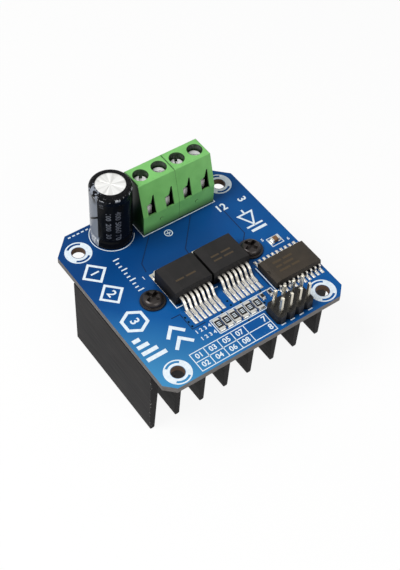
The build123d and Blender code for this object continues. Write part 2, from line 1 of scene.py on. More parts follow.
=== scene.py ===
# %% [markdown]
# # A motor driver board on its heatsink
#
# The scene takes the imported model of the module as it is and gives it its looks: solder
# mask, printed marks, solder, metal and moulded plastic. This cell loads the model. Its
# lengths are in metres, and the value mm turns millimetres into them. +Z is up, the tips
# of the heatsink's fins stand on the table, and the pin header is along the front edge.

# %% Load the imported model
import math

import bmesh
import bpy
from mathutils import Matrix, Vector


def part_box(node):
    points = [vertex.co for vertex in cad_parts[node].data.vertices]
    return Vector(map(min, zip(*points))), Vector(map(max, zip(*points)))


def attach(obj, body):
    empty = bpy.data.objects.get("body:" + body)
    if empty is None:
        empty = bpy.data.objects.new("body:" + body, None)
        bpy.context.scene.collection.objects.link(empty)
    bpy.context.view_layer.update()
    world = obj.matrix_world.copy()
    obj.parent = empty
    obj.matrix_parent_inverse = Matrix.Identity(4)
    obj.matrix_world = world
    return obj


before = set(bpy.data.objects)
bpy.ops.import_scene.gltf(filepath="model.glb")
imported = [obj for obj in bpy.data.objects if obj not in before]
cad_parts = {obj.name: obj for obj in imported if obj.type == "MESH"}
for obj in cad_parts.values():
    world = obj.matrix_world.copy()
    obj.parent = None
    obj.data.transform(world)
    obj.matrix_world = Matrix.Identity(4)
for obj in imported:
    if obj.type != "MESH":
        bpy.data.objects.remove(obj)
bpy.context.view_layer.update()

mm = 0.001
board_low, board_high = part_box("circuit_board")
board_top = board_high.z
print("board top at", round(board_top / mm, 2), "mm")

# %% [markdown]
# ## The camera
#
# The photograph looks down on the module from its front left corner. A camera can be
# placed by eye, but a square board gives its own ruler: its four edges fix the direction,
# the distance and the length of the lens. These are the values that they gave.

# %% Camera
camera_place = Vector((-104.49, -132.79, 225.42)) * mm
camera_azimuth = math.radians(-38.58)
camera_elevation = math.radians(50.97)
camera_roll = math.radians(3.82)
lens_length = 72.01

camera_data = bpy.data.cameras.new("camera")
camera_data.lens = lens_length
camera_data.sensor_width = 36
camera_data.clip_start = 0.01
camera = bpy.data.objects.new("camera", camera_data)
bpy.context.scene.collection.objects.link(camera)
camera.location = camera_place
camera.rotation_euler = (
    Matrix.Rotation(camera_azimuth, 3, "Z")
    @ Matrix.Rotation(math.pi / 2 - camera_elevation, 3, "X")
    @ Matrix.Rotation(camera_roll, 3, "Z")
).to_euler()
bpy.context.scene.camera = camera
bpy.context.scene.view_settings.view_transform = "Standard"
print("camera", round(camera_place.length / mm), "mm from the module's foot")

# %% [markdown]
# ## Colours and nodes
#
# Colours are written as they look on a screen, in hex, while Blender's nodes count light,
# so one function turns the first into the second. A second function adds any node with
# its settings and its links: an input is given a number, a colour in hex, or the node
# that feeds it. With it each material below reads like a recipe, which starts from an
# empty tree, mixes its tones, and ends in a shader.

# %% Colours
def colour(code):
    """Turn a screen colour such as #3a7bd5 into the linear colour that nodes take."""
    values = [int(code[i:i + 2], 16) / 255 for i in (1, 3, 5)]
    linear = [v / 12.92 if v <= 0.04045 else ((v + 0.055) / 1.055) ** 2.4 for v in values]
    return (*linear, 1.0)


print("a screen's middle grey is", round(colour("#808080")[0], 3), "of full light")

# %% Nodes and materials
def add(tree, kind, inputs=(), **settings):
    """Add a node with its settings, and fill or link its inputs, in order or by name."""
    node = tree.nodes.new(kind)
    for name, value in settings.items():
        setattr(node, name, value)
    sockets = [socket for socket in node.inputs if socket.enabled]
    if isinstance(inputs, dict):
        named = {socket.name: socket for socket in sockets}
        sockets = [named[name] for name in inputs]
        inputs = inputs.values()
    for socket, value in zip(sockets, inputs):
        if isinstance(value, bpy.types.Node):
            value = next(output for output in value.outputs if output.enabled)
        if isinstance(value, bpy.types.NodeSocket):
            tree.links.new(value, socket)
        else:
            socket.default_value = colour(value) if isinstance(value, str) else value
    return node


def start(name):
    """Start a material with an empty tree of nodes."""
    material = bpy.data.materials.new(name)
    material.use_nodes = True
    material.node_tree.nodes.clear()
    return material, material.node_tree


def graded(tree, value, low, high, first, second):
    """Go from one tone to a second one as a value climbs from low to high."""
    share = add(tree, "ShaderNodeMapRange", [value, low, high])
    return add(tree, "ShaderNodeMix", [share, first, second], data_type="RGBA")


def dress(material, *names):
    """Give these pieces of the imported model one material."""
    for name in names:
        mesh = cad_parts[name].data
        mesh.materials.clear()
        mesh.materials.append(material)
    print(material.name, "on", ", ".join(names))
    return material


print(len(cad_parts), "pieces wait for their finish")

# %% [markdown]
# ## Black anodised aluminium
#
# The heatsink is pressed through a die as one long bar, sawn to length and anodised black.
# The die leaves fine streaks along the fins, and the dyed oxide is a satin dark grey
# that is a little uneven, never quite black. A picture of such metal would blur close
# up, so noise in two sizes gives both. The front left corner is knocked, and a few specks
# of bare metal show there. A Bevel node rounds the edges in the light alone, which costs
# no faces.

# %% Heatsink finish
dye_cloud = 6 * mm
knocked_speck = 0.5 * mm
knock_full, knock_end = 0.2 * mm, 0.45 * mm
sawn_edge, die_line_depth = 0.15 * mm, 0.008 * mm
# The die's real lines are finer. They are drawn as coarse as they need to be to show.
die_line = 0.5 * mm


def anodised_aluminium():
    """Two close dark tones in clouds, streaks along the fins, and specks at one corner."""
    material, tree = start("black_anodised_aluminium")
    place = add(tree, "ShaderNodeTexCoord").outputs["Object"]
    dye = add(tree, "ShaderNodeTexNoise", {"Vector": place, "Scale": 1 / dye_cloud, "Detail": 4.0})
    tone = graded(tree, dye, 0.35, 0.7, "#201f20", "#282626")

    specks = add(tree, "ShaderNodeTexNoise", {"Vector": place, "Scale": 1 / knocked_speck})
    specks = add(tree, "ShaderNodeMapRange", [specks, 0.63, 0.67])
    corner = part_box("heatsink")[0]
    at = add(tree, "ShaderNodeSeparateXYZ", [place]).outputs
    for value, edge in ((at["X"], corner.x), (at["Y"], corner.y)):
        reach = [value, edge + knock_full, edge + knock_end, 1.0, 0.0]
        near = add(tree, "ShaderNodeMapRange", reach)
        specks = add(tree, "ShaderNodeMath", [specks, near], operation="MULTIPLY")
    tone = add(tree, "ShaderNodeMix", [specks, tone, "#b3b1ae"], data_type="RGBA")

    drawn_out = add(tree, "ShaderNodeMapping", {"Vector": place, "Scale": (1, 0.05, 1)})
    streaks = add(tree, "ShaderNodeTexNoise", {"Vector": drawn_out, "Scale": 1 / die_line})
    rounded = add(tree, "ShaderNodeBevel", [sawn_edge], samples=4)
    relief = {"Height": streaks, "Distance": die_line_depth, "Normal": rounded}
    shader = add(tree, "ShaderNodeBsdfPrincipled", {
        "Base Color": tone,
        "Roughness": add(tree, "ShaderNodeMapRange", [streaks, 0.3, 0.7, 0.5, 0.6]),
        "Specular IOR Level": 0.08,
        "Normal": add(tree, "ShaderNodeBump", relief),
    })
    add(tree, "ShaderNodeOutputMaterial", {"Surface": shader})
    return material


dress(anodised_aluminium(), "heatsink")

# %% [markdown]
# ## Solder mask and laminate
#
# A circuit board is glass cloth in epoxy with copper on it and a blue lacquer over all
# but the pads. The lacquer is on the flat faces alone: the sawn edge shows the laminate,
# a grey beige with the layers of cloth. Faces could be picked by hand for two materials,
# but the direction that a face looks in says which of the two it shows. Painted shade
# makes the blue deepest at the back left, and a painted sheen makes it palest at the
# front left corner. Between parts that stand close, painted shade makes it nearly black:
# the Ambient Occlusion node measures how open a place is, and a darker tone goes there.

# %% Blue of the mask
mask_cloud = 9 * mm
shade_reach = 3 * mm
# Painted shade deepens the blue towards the back and the left, and a painted sheen pales it at the
# front left corner.
painted_shade_front, painted_shade_back = -4 * mm, 11 * mm
painted_shade_left, painted_shade_right = 6 * mm, 20 * mm
painted_sheen_start, painted_sheen_full = -22 * mm, -45 * mm


def shaded(tree, tone, hollow, reach, low, high):
    """Paint shade into a tone: turn it towards a darker one where surfaces within reach keep the
    light off.
    """
    openness = add(tree, "ShaderNodeAmbientOcclusion", {"Distance": reach}).outputs["AO"]
    return graded(tree, openness, low, high, hollow, tone)


def mask_blue(tree, place):
    """The blue of the mask, with painted shade towards the back left and between close parts, and a
    painted sheen at the front left.
    """
    cloud = {"Vector": place, "Scale": 1 / mask_cloud, "Detail": 3.0}
    cloud = add(tree, "ShaderNodeTexNoise", cloud)
    tone = graded(tree, cloud, 0.35, 0.65, "#0b4d8e", "#0e5597")
    at = add(tree, "ShaderNodeSeparateXYZ", [place]).outputs
    # Painted shade towards the back, strongest at the left.
    back = add(tree, "ShaderNodeMapRange", [at["Y"], painted_shade_front, painted_shade_back])
    left = add(tree, "ShaderNodeMapRange", [at["X"], painted_shade_left, painted_shade_right, 1.0, 0.4])
    painted_shade_share = add(tree, "ShaderNodeMath", [back, left], operation="MULTIPLY")
    tone = add(tree, "ShaderNodeMix", [painted_shade_share, tone, "#083e78"], data_type="RGBA")
    # Painted sheen of light at the front left corner.
    diagonal = add(tree, "ShaderNodeMath", [at["X"], at["Y"]], operation="ADD")
    tone = graded(tree, diagonal, painted_sheen_start, painted_sheen_full, tone, "#3f89ba")
    # Painted shade between parts that stand close.
    return shaded(tree, tone, "#04122a", shade_reach, 0.25, 0.75)


print("the mask darkens within", round(shade_reach / mm, 2), "mm of what stands on it")

# %% Board finish
# Real cloth is about half as thick a layer. It is drawn as coarse as it needs to show.
cloth_layer = 0.35 * mm
lacquer_ripple, ripple_depth = 0.8 * mm, 0.004 * mm


def solder_mask_board():
    """Blue lacquer on the flat faces, and layers of glass cloth on the sawn edge."""
    material, tree = start("blue_solder_mask_on_laminate")
    seen = add(tree, "ShaderNodeTexCoord").outputs
    place = seen["Object"]
    drawn_out = add(tree, "ShaderNodeMapping", {"Vector": place, "Scale": (0.25, 0.25, 2)})
    cloth = add(tree, "ShaderNodeTexNoise", {"Vector": drawn_out, "Scale": 1 / cloth_layer})
    edge = graded(tree, cloth, 0.3, 0.7, "#74716e", "#949190")
    facing = add(tree, "ShaderNodeSeparateXYZ", [seen["Normal"]]).outputs["Z"]
    flat = add(tree, "ShaderNodeMath", [facing], operation="ABSOLUTE")
    ripple = add(tree, "ShaderNodeTexNoise", {"Vector": place, "Scale": 1 / lacquer_ripple})
    relief = {"Height": ripple, "Distance": ripple_depth}
    shader = add(tree, "ShaderNodeBsdfPrincipled", {
        "Base Color": graded(tree, flat, 0.4, 0.6, edge, mask_blue(tree, place)),
        "Roughness": add(tree, "ShaderNodeMapRange", [flat, 0.4, 0.6, 0.75, 0.3]),
        "Specular IOR Level": 0.12,
        "Normal": add(tree, "ShaderNodeBump", relief),
    })
    add(tree, "ShaderNodeOutputMaterial", {"Surface": shader})
    return material


dress(solder_mask_board(), "circuit_board")

# %% [markdown]
# ## Moulded plastic
#
# Terminal housings are nylon, chips are epoxy filled with glass powder, and the header is
# black nylon. All are moulded, so each is one even colour with the fine matt grain of the
# mould, and its edges are a little round. Little light reaches their wells and windows, so
# shade is painted into every hollow as a darker tone. One function makes them all, so that
# they differ only where the real ones do. Rubber, silicone, fired ceramic, glaze and ink
# look alike at this size, so it makes those too.

# %% Moulded finish
tone_cloud = 3 * mm
painted_shade_reach = 4 * mm
crisp_edge, soft_edge = 0.08 * mm, 0.15 * mm
# The mould's real grain is finer. It is drawn as coarse as it needs to be to show.
grain_size = 0.25 * mm
shallow_grain, deep_grain = 0.006 * mm, 0.012 * mm


def moulded(
    name, light, dark, roughness, grain=shallow_grain, edge=crisp_edge, specular=0.3, hollow=None
):
    """Two close tones in soft clouds, a fine grain, round edges, and painted shade in hollows."""
    material, tree = start(name)
    place = add(tree, "ShaderNodeTexCoord").outputs["Object"]
    cloud = add(tree, "ShaderNodeTexNoise", {"Vector": place, "Scale": 1 / tone_cloud})
    tone = graded(tree, cloud, 0.3, 0.7, dark, light)
    # Painted shade: a darker tone where other surfaces stand close.
    if hollow:
        tone = shaded(tree, tone, hollow, painted_shade_reach, 0.45, 0.9)
    pits = add(tree, "ShaderNodeTexNoise", {"Vector": place, "Scale": 1 / grain_size})
    rounded = add(tree, "ShaderNodeBevel", [edge], samples=4)
    relief = {"Height": pits, "Distance": grain, "Normal": rounded}
    shader = add(tree, "ShaderNodeBsdfPrincipled", {
        "Base Color": tone,
        "Roughness": roughness,
        "Specular IOR Level": specular,
        "Normal": add(tree, "ShaderNodeBump", relief),
    })
    add(tree, "ShaderNodeOutputMaterial", {"Surface": shader})
    return material


print("the mould's grain is drawn", round(grain_size / mm, 2), "mm wide")

# %% Housings, chips and header
# The hollow tone of each look is painted shade: in the housings' wells and windows, on their side
# by the capacitor, and at the feet of the chips and the header.
housing_look = {"edge": soft_edge, "specular": 0.5, "hollow": "#0c2a08"}
dress(
    moulded("moulded_green_nylon", "#7cc36c", "#71b762", 0.4, **housing_look),
    "terminal_housing_left",
    "terminal_housing_right",
)
power_chip_look = {"grain": deep_grain, "specular": 0.2, "hollow": "#050505"}
dress(
    moulded("moulded_epoxy_compound", "#262424", "#1f1e1e", 0.6, **power_chip_look),
    "power_chip_left_body",
    "power_chip_right_body",
)
logic_chip_look = {"grain": deep_grain, "specular": 0.25, "hollow": "#070605"}
dress(
    moulded("moulded_brown_epoxy", "#3a332b", "#302b25", 0.6, **logic_chip_look),
    "logic_chip_body",
)
header_look = {"specular": 0.25, "hollow": "#050505"}
dress(moulded("moulded_black_nylon", "#1f1e1e", "#181717", 0.45, **header_look), "header_base")

# %% Rubber, silicone and ceramic
dress(moulded("silicone_pad", "#a2a3a4", "#96989a", 0.8), "thermal_pad")
dress(moulded("moulded_rubber", "#1c1b1b", "#151414", 0.7), "capacitor_bung")
dress(moulded("white_alumina", "#dcdad4", "#cfccc5", 0.5), "chip_resistor_bodies")
dress(moulded("fired_ceramic", "#7a5a3f", "#6b4f38", 0.5), "chip_capacitor_body")

# %% [markdown]
# ## Plated metal
#
# The legs, pins and pads are copper or brass under a thin coat of tin, and the clamps and
# their screws are plated steel. Each has its own tone and its own way of mirroring, with
# small dents or streaks. One even roughness would be simpler, but it mirrors too cleanly
# for parts so small, so the roughness wanders between two values. The screws have a dull
# coat that scatters light, so they are metallic only in part. The contacts are painted
# nearly white and barely metallic, a painted glint that shows as a bright spot in each
# window of the terminals.

# %% Plated finish
worn_edge = 0.05 * mm
dent_depth, scuff_depth = 0.01 * mm, 0.008 * mm


def plated(name, tone, smoothest, roughest, size, stretch=(1, 1, 1), height=0.0, share=1.0):
    """Metal whose roughness wanders between two values in a pattern of about a size."""
    material, tree = start(name)
    place = add(tree, "ShaderNodeTexCoord").outputs["Object"]
    drawn_out = add(tree, "ShaderNodeMapping", {"Vector": place, "Scale": stretch})
    pattern = add(tree, "ShaderNodeTexNoise", {"Vector": drawn_out, "Scale": 1 / size})
    wander = [pattern, 0.3, 0.7, smoothest, roughest]
    normal = add(tree, "ShaderNodeBevel", [worn_edge], samples=4)
    if height:
        relief = {"Height": pattern, "Distance": height, "Normal": normal}
        normal = add(tree, "ShaderNodeBump", relief)
    shader = add(tree, "ShaderNodeBsdfPrincipled", {
        "Base Color": tone,
        "Metallic": share,
        "Roughness": add(tree, "ShaderNodeMapRange", wander),
        "Normal": normal,
    })
    add(tree, "ShaderNodeOutputMaterial", {"Surface": shader})
    return material


print("plated edges are rounded by", round(worn_edge / mm, 2), "mm in the light")

# %% Tinned legs, pins and solder
tinned = dress(
    plated("tinned_copper", "#dedad0", 0.3, 0.45, 0.5 * mm, height=dent_depth),
    "power_chip_left_legs",
    "power_chip_right_legs",
    "power_chip_left_tab",
    "power_chip_right_tab",
    "logic_chip_legs",
    "capacitor_leads",
)
solder = dress(
    plated("bright_solder", "#dfded9", 0.28, 0.42, 0.4 * mm, height=dent_depth),
    "chip_resistor_ends",
    "chip_capacitor_ends",
)
dress(plated("tinned_brass_pin", "#d9d3c3", 0.22, 0.36, 0.4 * mm, (1, 1, 0.1)), "header_pins")

# %% Clamps, screws and contacts of the four ways
ways = range(1, 5)
dress(
    plated("zinc_plated_steel", "#8f8f8e", 0.4, 0.55, 0.6 * mm, height=scuff_depth),
    *[f"terminal_cage_{way}" for way in ways],
)
dress(
    plated("nickel_plated_screw", "#f6f6f5", 0.45, 0.6, 0.6 * mm, height=scuff_depth, share=0.5),
    *[f"terminal_screw_{way}" for way in ways],
)
# Painted glint: the contacts are nearly white and barely metallic, so they show as bright spots in
# the windows.
dress(
    plated("tinned_brass_painted_glint", "#fffefb", 0.5, 0.6, 0.5 * mm, share=0.1),
    *[f"terminal_contact_{way}" for way in ways],
)

# %% [markdown]
# ## Drawn aluminium
#
# The capacitor's can is drawn from bare sheet in a round die, and its lid has faint rays
# that run out from the middle. They could be cut into the mesh, but they are far too
# shallow to change its outline. Noise that only knows the direction from the middle, and
# not the distance, makes such rays.

# %% Lid of the can
# The real rays are finer. At the rim they are drawn this broad, to show.
ray_width = 1.386 * mm


def drawn_aluminium():
    """Bare aluminium with rays from the middle of the lid."""
    material, tree = start("drawn_aluminium")
    low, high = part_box("capacitor_can")
    middle = (low + high) / 2
    rays_in_radius = (high.x - low.x) / 2 / ray_width
    place = add(tree, "ShaderNodeTexCoord").outputs["Object"]
    to_middle = {"Vector": place, "Location": (-middle.x, -middle.y, 0)}
    centred = add(tree, "ShaderNodeMapping", to_middle)
    level = add(tree, "ShaderNodeVectorMath", [centred, (1, 1, 0)], operation="MULTIPLY")
    direction = add(tree, "ShaderNodeVectorMath", [level], operation="NORMALIZE")
    rays = {"Vector": direction, "Scale": rays_in_radius, "Detail": 1.0}
    rays = add(tree, "ShaderNodeTexNoise", rays)
    shader = add(tree, "ShaderNodeBsdfPrincipled", {
        "Base Color": graded(tree, rays, 0.35, 0.65, "#e2e2df", "#f6f6f4"),
        "Metallic": 0.8,
        "Roughness": add(tree, "ShaderNodeMapRange", [rays, 0.3, 0.7, 0.4, 0.6]),
    })
    add(tree, "ShaderNodeOutputMaterial", {"Surface": shader})
    return material


dress(drawn_aluminium(), "capacitor_can")

# %% [markdown]
# ## Black oxide
#
# The two screws that hold the board down are steel that was boiled black in a salt bath.
# The oxide is so thin that the metal still mirrors through it. Neither a full metal nor
# a black plastic looks like that, so the finish is metallic in part, and glossier than
# the plastics beside it.

# %% Screw finish
dent_size = 0.5 * mm
turned_edge = 0.1 * mm


def black_oxide():
    """Steel under a thin black oxide."""
    material, tree = start("black_oxide_steel")
    place = add(tree, "ShaderNodeTexCoord").outputs["Object"]
    dents = add(tree, "ShaderNodeTexNoise", {"Vector": place, "Scale": 1 / dent_size})
    rounded = add(tree, "ShaderNodeBevel", [turned_edge], samples=4)
    relief = {"Height": dents, "Distance": dent_depth, "Normal": rounded}
    shader = add(tree, "ShaderNodeBsdfPrincipled", {
        "Base Color": "#35302e",
        "Metallic": 0.6,
        "Roughness": 0.33,
        "Normal": add(tree, "ShaderNodeBump", relief),
    })
    add(tree, "ShaderNodeOutputMaterial", {"Surface": shader})
    return material


dress(black_oxide(), "heatsink_screw_left", "heatsink_screw_right")

# %% [markdown]
# ## Shrunk film
#
# The capacitor wears a black film that was shrunk on with heat. Down its left side runs a
# grey stripe with a dash, which marks the negative lead. The film crinkles where it is
# drawn in over the rim and at the foot of the stripe. There white painted highlights stand
# for the glints of the crinkles, and painted shade darkens the stripe in streaks under the
# rim. A picture could carry this, but a can has directions of its own: outward from its
# axis to the stripe, aside along the wall, and up. Stripe, dash, painted shade and painted
# highlights are bands in them.

# %% Directions and bands on the can
stripe_angle = math.radians(175)
sleeve_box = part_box("capacitor_sleeve")
sleeve_tall = sleeve_box[1].z - board_top


def can_directions(tree):
    """How far outward, aside and up a point lies, from the foot of the can's axis."""
    middle = (sleeve_box[0] + sleeve_box[1]) / 2
    place = add(tree, "ShaderNodeTexCoord").outputs["Object"]
    to_foot = {"Vector": place, "Location": (-middle.x, -middle.y, -board_top)}
    centred = add(tree, "ShaderNodeMapping", to_foot)
    turn = {"Vector": centred, "Angle": -stripe_angle}
    turned = add(tree, "ShaderNodeVectorRotate", turn, rotation_type="Z_AXIS")
    at = add(tree, "ShaderNodeSeparateXYZ", [turned]).outputs
    return at["X"], at["Y"], at["Z"]


def band(tree, value, middle, reach, soft):
    """One where a value lies within reach of a middle, and nothing outside, softly."""
    away = add(tree, "ShaderNodeMath", [value, middle], operation="SUBTRACT")
    away = add(tree, "ShaderNodeMath", [away], operation="ABSOLUTE")
    return add(tree, "ShaderNodeMapRange", [away, reach - soft, reach + soft, 1.0, 0.0])


print("the sleeve stands", round(sleeve_tall / mm, 2), "mm above the board")

# %% Stripe, dash and painted crease shade
stripe_half_width = 2.1 * mm
# A band in the distance aside is on both sides of the can, and only one is printed.
printed_side_start, printed_side_full = 1 * mm, 2 * mm
dash_level, dash_slope, dash_half_width = 8.2 * mm, 0.9, 0.35 * mm
dash_end_start, dash_end_full = -0.8 * mm, -0.6 * mm
print_blur = 0.08 * mm
crease_shade_width, crease_shade_reach, crease_shade_fade = 0.7 * mm, 3.4 * mm, 2 * mm


def film_layers(tree, place, outward, aside, height):
    """The shares of the stripe, of the dash on it, and of painted crease shade near its top."""
    printed_side = [outward, printed_side_start, printed_side_full]
    printed_side = add(tree, "ShaderNodeMapRange", printed_side)
    stripe = band(tree, aside, 0, stripe_half_width, print_blur)
    stripe = add(tree, "ShaderNodeMath", [stripe, printed_side], operation="MULTIPLY")

    slant = add(tree, "ShaderNodeMath", [aside, dash_slope], operation="MULTIPLY")
    level = add(tree, "ShaderNodeMath", [height, slant], operation="SUBTRACT")
    dash = band(tree, level, dash_level, dash_half_width, print_blur)
    dash_part = add(tree, "ShaderNodeMapRange", [aside, dash_end_start, dash_end_full])
    dash = add(tree, "ShaderNodeMath", [dash, dash_part], operation="MULTIPLY")

    # Painted shade: dark streaks in the stripe near the rim, where the film is creased.
    drawn_out = add(tree, "ShaderNodeMapping", {"Vector": place, "Scale": (1, 1, 0.15)})
    crease_shade = {"Vector": drawn_out, "Scale": 1 / crease_shade_width, "Detail": 1.0}
    crease_shade = add(tree, "ShaderNodeTexNoise", crease_shade)
    crease_shade = add(tree, "ShaderNodeMapRange", [crease_shade, 0.50, 0.54, 1.0, 0.0])
    crease_shade_foot = sleeve_tall - crease_shade_reach
    under_rim = [height, crease_shade_foot, crease_shade_foot + crease_shade_fade]
    under_rim = add(tree, "ShaderNodeMapRange", under_rim)
    crease_shade = add(tree, "ShaderNodeMath", [crease_shade, under_rim], operation="MULTIPLY")
    return stripe, dash, crease_shade


print("the stripe is", round(2 * stripe_half_width / mm, 2), "mm wide")

# %% Film on the capacitor
# The white is a painted highlight for the glints of the crinkles.
film_black, stripe_grey, painted_highlight_white = "#0e0f11", "#8a909a", "#c4c7cc"
fold_size, fold_depth = 0.75 * mm, 0.6 * mm
rim_folds_start, rim_folds_full = sleeve_tall - 2.4 * mm, sleeve_tall - 0.8 * mm
foot_folds_full, foot_folds_end = 0.5 * mm, 2.5 * mm
highlight_rim, highlight_rim_reach = sleeve_tall - 0.75 * mm, 0.35 * mm
highlight_foot, highlight_foot_reach = 1.5 * mm, 0.9 * mm
highlight_blur = 0.2 * mm


def shrunk_film():
    """Black film with a grey stripe and one dash on it, crinkled at the rim, with painted white
    highlights and painted crease shade.
    """
    material, tree = start("shrunk_black_film")
    place = add(tree, "ShaderNodeTexCoord").outputs["Object"]
    outward, aside, height = can_directions(tree)
    stripe, dash, crease_shade = film_layers(tree, place, outward, aside, height)
    drawn_out = add(tree, "ShaderNodeMapping", {"Vector": place, "Scale": (1, 1, 0.6)})
    folds = add(tree, "ShaderNodeTexNoise", {"Vector": drawn_out, "Scale": 1 / fold_size})

    # Painted highlights: white specks in bands at the rim and at the foot of the stripe.
    at_rim = band(tree, height, highlight_rim, highlight_rim_reach, highlight_blur)
    at_foot = band(tree, height, highlight_foot, highlight_foot_reach, highlight_blur)
    at_foot = add(tree, "ShaderNodeMath", [at_foot, stripe], operation="MULTIPLY")
    highlight_bands = add(tree, "ShaderNodeMath", [at_rim, at_foot], operation="ADD")
    white = add(tree, "ShaderNodeMapRange", [folds, 0.52, 0.57])
    white = add(tree, "ShaderNodeMath", [white, highlight_bands], operation="MULTIPLY")

    tone = film_black
    layers = (stripe, stripe_grey), (dash, film_black), (crease_shade, film_black), (white, painted_highlight_white)
    for share, over in layers:
        tone = add(tree, "ShaderNodeMix", [share, tone, over], data_type="RGBA")

    near_rim = [height, rim_folds_start, rim_folds_full, 0.04, 1.0]
    near_rim = add(tree, "ShaderNodeMapRange", near_rim)
    near_foot = [height, foot_folds_full, foot_folds_end, 0.5, 0.0]
    near_foot = add(tree, "ShaderNodeMapRange", near_foot)
    near_ends = add(tree, "ShaderNodeMath", [near_rim, near_foot], operation="ADD")
    folded = add(tree, "ShaderNodeMath", [folds, near_ends], operation="MULTIPLY")
    shader = add(tree, "ShaderNodeBsdfPrincipled", {
        "Base Color": tone,
        "Roughness": 0.2,
        "Specular IOR Level": 0.06,
        "Normal": add(tree, "ShaderNodeBump", {"Height": folded, "Distance": fold_depth}),
    })
    add(tree, "ShaderNodeOutputMaterial", {"Surface": shader})
    return material


dress(shrunk_film(), "capacitor_sleeve")

# %% [markdown]
# ## Drawing small pieces
#
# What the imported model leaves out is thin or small: printed ink, solder, the rims of
# drilled holes. Each kind is one mesh, drawn with bmesh in millimetres and turned into
# metres at the end. A few helpers are enough: a straight bar, a ribbon along a run of
# points, a ring or an arc spun from its section, a disc, and a figure from Blender's own
# font. The ink is drawn about twice as thick as real ink, to stand clear of the mask.

# %% Bars and finished pieces
board_level = board_top / mm
ink_height = 0.03


def settle(name, shape, material):
    """Turn a finished shape into a piece of the object that rides on the board's body."""
    bmesh.ops.recalc_face_normals(shape, faces=shape.faces)
    mesh = bpy.data.meshes.new(name)
    shape.to_mesh(mesh)
    shape.free()
    mesh.transform(Matrix.Scale(mm, 4))
    mesh.materials.append(material)
    piece = bpy.data.objects.new(name, mesh)
    bpy.context.scene.collection.objects.link(piece)
    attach(piece, "module")
    print(name, len(mesh.polygons), "faces")


def corners(name):
    """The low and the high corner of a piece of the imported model, in millimetres."""
    return [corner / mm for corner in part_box(name)]


def bar(shape, first, second, width, level=board_level, height=ink_height):
    """Lay a straight flat bar between two points of the plan."""
    along = Vector(second) - Vector(first)
    middle = (Vector(first) + Vector(second)) / 2
    spot = Matrix.Translation((*middle, level + height / 2))
    turn = Matrix.Rotation(math.atan2(along.y, along.x), 4, "Z")
    grow = Matrix.Diagonal((along.length, width, height, 1))
    bmesh.ops.create_cube(shape, size=1, matrix=spot @ turn @ grow)


print("the pieces are drawn on a board", round(board_level, 2), "mm up")

# %% Ribbons and frames
def path(shape, points, width, height=ink_height):
    """Lay one flat ribbon along a run of points, mitred at its corners."""
    run = [Vector(point) for point in points]
    closed = (run[0] - run[-1]).length < 1e-6
    steps = [(after - before).normalized() for before, after in zip(run, run[1:])]
    arriving = [steps[-1] if closed else steps[0], *steps]
    leaving = [*steps, steps[-1]]
    edges = []
    for point, before, after in zip(run[:-1] if closed else run, arriving, leaving):
        across = Vector((-before.y - after.y, before.x + after.x)).normalized()
        reach = width / 2 / across.dot(Vector((-before.y, before.x)))
        sides = [point - reach * across, point + reach * across]
        edges.append([shape.verts.new((*side, board_level)) for side in sides])
    if closed:
        edges.append(edges[0])
    pairs = zip(edges, edges[1:])
    flat = [shape.faces.new((*first, *reversed(second))) for first, second in pairs]
    raised = bmesh.ops.extrude_face_region(shape, geom=flat, use_keep_orig=True)
    lifted = [item for item in raised["geom"] if isinstance(item, bmesh.types.BMVert)]
    bmesh.ops.translate(shape, verts=lifted, vec=(0, 0, height))


def frame_line(shape, low, high, width):
    """Draw the four sides of a rectangle."""
    (left, front), (right, back) = low, high
    turns = [(left, front), (right, front), (right, back), (left, back), (left, front)]
    path(shape, turns, width)


# %% Rings, discs and figures
def ring(
    shape, centre, inner, outer, level=board_level, height=ink_height, first=0, sweep=360, steps=48
):
    """Spin an upright section round a centre, all the way or over an arc in degrees."""
    outline = (inner, level), (outer, level), (outer, level + height), (inner, level + height)
    points = [shape.verts.new((radius, 0, z)) for radius, z in outline]
    section = shape.faces.new(points)
    middle = Vector((*centre, 0))
    turned = Matrix.Translation(middle) @ Matrix.Rotation(math.radians(first), 4, "Z")
    bmesh.ops.transform(shape, matrix=turned, verts=points)
    whole = sweep == 360
    geometry = points + list(section.edges) + ([] if whole else [section])
    if whole:
        shape.faces.remove(section)
    bmesh.ops.spin(
        shape,
        geom=geometry,
        cent=middle,
        axis=(0, 0, 1),
        angle=math.radians(sweep),
        steps=steps,
        use_merge=whole,
    )


def disc(shape, centre, radius, height, sides):
    """A flat round plate on the board."""
    bmesh.ops.create_cone(
        shape,
        cap_ends=True,
        segments=sides,
        radius1=radius,
        radius2=radius,
        depth=height,
        matrix=Matrix.Translation((*centre, board_level + height / 2)),
    )


def figure(shape, text, centre, size, turn=0, level=board_level):
    """Print a plain number, centred on a place."""
    curve = bpy.data.curves.new("figure", "FONT")
    curve.body = text
    curve.size = size
    curve.offset = 0.02 * size
    curve.extrude = ink_height / 2
    curve.resolution_u = 3
    curve.align_x = "CENTER"
    curve.align_y = "CENTER"
    carrier = bpy.data.objects.new("figure", curve)
    mesh = bpy.data.meshes.new_from_object(carrier)
    spot = Matrix.Translation((*centre, level + ink_height / 2))
    mesh.transform(spot @ Matrix.Rotation(math.radians(turn), 4, "Z"))
    shape.from_mesh(mesh)
    bpy.data.objects.remove(carrier)
    bpy.data.curves.remove(curve)
    bpy.data.meshes.remove(mesh)


# %% [markdown]
# ## Printed ink
#
# White epoxy ink is screened over the solder mask. It outlines the parts, rings the
# mounting holes, and makes a small table that numbers the header's pins. The wide strip
# on the left has plain marks of the weight that such printing has: diamonds and a
# hexagon with figures, bars and chevrons. At the right there are numbers and the sign
# for a diode. A texture could carry all this, but real thin shapes stay sharp up close
# and need no picture. All ink is one finish: white, and a little uneven.

# %% Ink and the mounting hole rings
wear_cloud = 0.6 * mm


